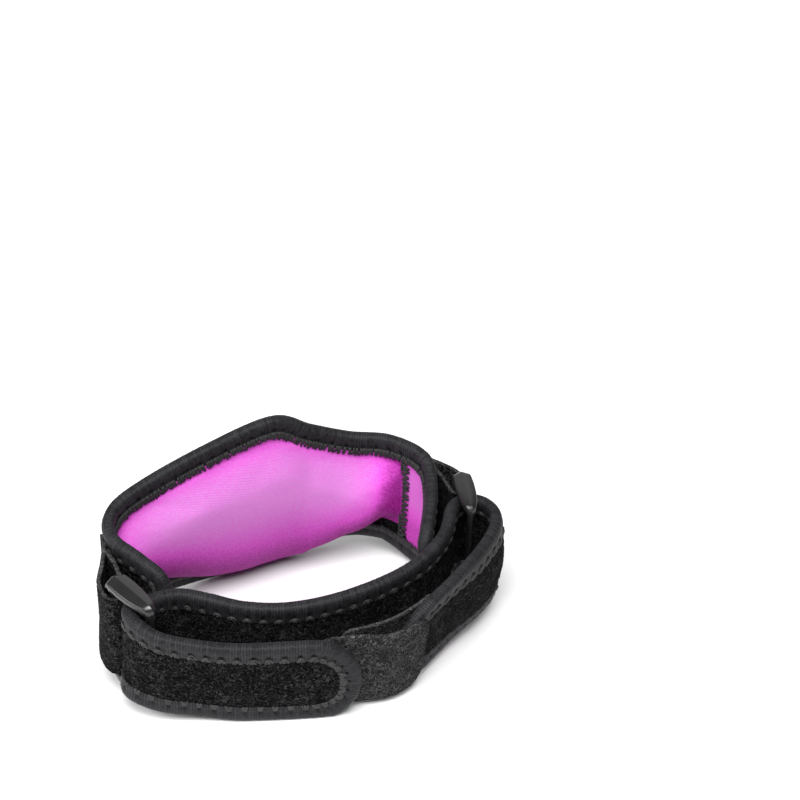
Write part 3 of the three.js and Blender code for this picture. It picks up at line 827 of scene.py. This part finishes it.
def makeRing(side):
    rows = ringRows[side]
    deselect()
    bpy.ops.mesh.primitive_torus_add(major_segments=ring["pathSteps"], minor_segments=len(ringSection))
    piece = bpy.context.object
    piece.name = piece.data.name = "ring" + side.title() + "Body"
    ox, oy = roundedFrame(ring["length"], ring["height"], ring["corner"], ring["pathSteps"])
    ix, iy = roundedFrame(ring["length"] - 2 * ring["bar"], ring["height"] - 2 * ring["rail"],
                          ring["slotCorner"], ring["pathSteps"])
    out, wide = np.array(ringSection).T
    x = ix[:, None] + (ox - ix)[:, None] * out
    z = iy[:, None] + (oy - iy)[:, None] * out
    share = 2 * x / ring["length"]
    toRail = ring["height"] / 2 - ring["rail"] - np.abs(z)
    thin = 1 - (1 - ring["barThin"]) * smoothStep(toRail / ring["barFlare"])
    y = (np.interp(share, *ringLeaf.T) + rows["wider"]) * wide * thin
    low = np.minimum(2 * z / ring["height"], 0) ** 2
    x = x + rows["longer"] * np.maximum(share, 0) * (1 - low) + rows["tuck"] * low
    angle = math.radians(rows["heading"] - 90)
    px, py, pz = rows["place"]
    bandX = px + x * math.cos(angle) - y * math.sin(angle)
    bandY = py + x * math.sin(angle) + y * math.cos(angle)
    movePoints(piece, standUp(bandX.ravel(), bandY.ravel(), (pz + z).ravel()))
    faceOut(piece)
    applyModifier(piece, "BEVEL", width=ring["edge"] * mm, segments=2, limit_method="ANGLE",
                  angle_limit=math.radians(ring["edgeAngle"]))
    bpy.ops.object.shade_smooth_by_angle(angle=math.radians(ring["smoothAngle"]))
    finishPiece(piece, plastic, ["ring_" + side])


for side in ringRows:
    makeRing(side)

# Ring loops

# wrap: how far the cloth stands off the middle of the ring's bar, at these degrees round it
# lowFrom, lowFull, flareEnd: shares of the length where the low edge is back at full and its flare is over
ringLoop = {"thick": 1.4, "half": 17.6, "drop": 1, "wrap": 4.1, "wrapDegrees": (-90, -45, 0, 45, 90),
            "lowFrom": 0.16, "lowFull": 0.46, "flareEnd": 0.6,
            "step": 0.7, "pileSize": 0.9, "pileDeep": 0.35}


def makeRingLoop(side):
    rows = ringRows[side]
    turn = math.radians(rows["heading"])
    front = np.array([math.sin(turn), -math.cos(turn)])
    outward = rows["out"] * np.array([math.cos(turn), math.sin(turn)])
    bar = np.array(rows["place"][:2]) + front * (ring["bar"] / 2 - ring["length"] / 2)
    wrap = [tuple(bar + ringLoop["wrap"] * (front * math.cos(a) - outward * math.sin(a)))
            for a in np.radians(ringLoop["wrapDegrees"])]
    route = makeRoute(rows["outer"] + wrap + rows["inner"])
    lift = rows["place"][2] - ringLoop["drop"]
    piece, u, v, face = slab("ringLoop" + side.title() + "Cloth", round(route["length"] / ringLoop["step"]),
                             round(2 * ringLoop["half"] / ringLoop["step"]))
    s = u * route["length"]
    lowShare = rows["loopLow"] + (1 - rows["loopLow"]) * between(ringLoop, u, "lowFrom", "lowFull")
    z = v * ringLoop["half"] * np.where(v < 0, lowShare, 1)
    flare = np.sin(np.pi * np.clip(u / ringLoop["flareEnd"], 0, 1))
    flare *= rows["out"] * rows["flare"] * np.maximum(-v, 0)
    points = bend(route, s, face * ringLoop["thick"] / 2 + flare, z, cloth["strapHalf"], lift)
    tuck = rows["tuck"] * np.minimum(z / (ring["height"] / 2), 0) ** 2 * np.sin(np.pi * u)
    points[:, :2] += (tuck[:, None] * front) * mm
    movePoints(piece, points)
    setFlatUv(piece, s, z)
    faceOut(piece)
    noisePush(piece, "loopRelief" + side.title(), ringLoop["pileSize"], ringLoop["pileDeep"])
    finishPiece(piece, paintedLitLoopPile, ["ring_loop_" + side])
    rawEdges(piece, v, rawEdge)


for side in ringRows:
    makeRingLoop(side)

# Hook tabs

hookTab = {"thick": 1.1, "half": 16.4, "radius": 5, "step": 0.7, "moundSize": 1.4, "moundDeep": 0.3}


def makeHookTab(side):
    route = makeRoute(tabRows[side])
    length = route["length"]
    piece, u, v, face = slab("hookTab" + side.title() + "Tape", round(length / hookTab["step"]),
                             round(2 * hookTab["half"] / hookTab["step"]))
    s = u * length
    z = v * cornerHalf(s, length, hookTab["half"], hookTab["radius"])
    lift, tip = column(route, s, 2), column(route, s, 3)
    movePoints(piece, bend(route, s, face * hookTab["thick"] / 2, z, cloth["strapHalf"], lift, tip))
    setFlatUv(piece, s, z)
    faceOut(piece)
    noisePush(piece, "tabRelief" + side.title(), hookTab["moundSize"], hookTab["moundDeep"])
    finishPiece(piece, hookTape, ["hook_tab_" + side])
    if side == "right":
        rawEdges(piece, v, rawEdge)


for side in tabRows:
    makeHookTab(side)

# Floor, light and camera

# the floor's size and drop in metres, its darkest and palest grey, and the strength of the light all round
studio = {"floor": 4.0, "floorDrop": 0.0002, "floorGrey": (0.81, 0.83), "world": 0.15}


def makeFloor():
    deselect()
    bpy.ops.mesh.primitive_plane_add(size=studio["floor"], location=(0, 0, -studio["floorDrop"]))
    floor = bpy.context.object
    floor.name = "paleFloor"
    material, nodes, links, shader = newMaterial("paleFloorPaper", roughness=0.85)
    tooth = addNoise(nodes, links, Scale=60, Detail=2)
    addColour(nodes, links, tooth, list(zip((0.3, 0.7), studio["floorGrey"])), shader.inputs["Base Color"])
    floor.data.materials.append(material)


# softboxes: metres, degrees of spread and watts; the last one lights the floor behind the band
bandMiddle = (0, 0, 0.03)
lamps = [
    {"name": "leftSoftbox", "place": (-0.9, 0, 0.55), "aim": bandMiddle,
     "size": 0.6, "spread": 180, "power": 9},
    {"name": "topSoftbox", "place": (-0.2, -0.6, 1), "aim": bandMiddle,
     "size": 0.7, "spread": 180, "power": 24},
    {"name": "backSoftbox", "place": (0.6, 1.1, 0.9), "aim": bandMiddle,
     "size": 1.5, "spread": 180, "power": 5.5},
    {"name": "floorSoftbox", "place": (0.1, 0.9, 0.9), "aim": (0.1, 0.9, 0),
     "size": 0.9, "spread": 40, "power": 3},
]


def makeLamps():
    for lamp in lamps:
        light = bpy.data.lights.new(lamp["name"], "AREA")
        light.size = lamp["size"]
        light.energy = lamp["power"]
        light.spread = math.radians(lamp["spread"])
        holder = bpy.data.objects.new(lamp["name"], light)
        holder.location = lamp["place"]
        holder.rotation_mode = "QUATERNION"
        holder.rotation_quaternion = (Vector(lamp["aim"]) - Vector(lamp["place"])).to_track_quat("-Z", "Y")
        bpy.context.scene.collection.objects.link(holder)
    world = bpy.data.worlds.new("studioWorld")
    world.use_nodes = True
    background = world.node_tree.nodes["Background"]
    background.inputs["Color"].default_value = (1, 1, 1, 1)
    background.inputs["Strength"].default_value = studio["world"]
    bpy.context.scene.world = world
    bpy.context.scene.view_settings.view_transform = "Standard"


# the camera looks at the band's middle, which stands at this pixel of the 800 by 800 frame
shot = {"azimuth": -21.37, "elevation": 34.46, "roll": -4.1, "distance": 0.75, "lens": 94.5,
        "middlePixel": (300, 585), "framePixels": 800}


def makeCamera():
    data = bpy.data.cameras.new("photoCamera")
    data.lens = shot["lens"]
    camera = bpy.data.objects.new("photoCamera", data)
    bpy.context.scene.collection.objects.link(camera)
    a, e, r = (math.radians(shot[key]) for key in ("azimuth", "elevation", "roll"))
    back = Vector((math.sin(a) * math.cos(e), -math.cos(a) * math.cos(e), math.sin(e)))
    level = Vector((math.cos(a), math.sin(a), 0))
    right = level * math.cos(r) + back.cross(level) * math.sin(r)
    turn = Matrix((right, back.cross(right), back)).transposed().to_quaternion()
    half = shot["framePixels"] / 2
    focal = shot["lens"] / data.sensor_width * shot["framePixels"]
    toMiddle = Vector((shot["middlePixel"][0] - half, half - shot["middlePixel"][1], -focal)).normalized()
    camera.location = Vector(standShift * mm) + back * shot["distance"]
    camera.rotation_mode = "QUATERNION"
    camera.rotation_quaternion = turn @ toMiddle.rotation_difference(Vector((0, 0, -1)))
    bpy.context.scene.camera = camera


makeFloor()
makeLamps()
makeCamera()
print("stage ready")
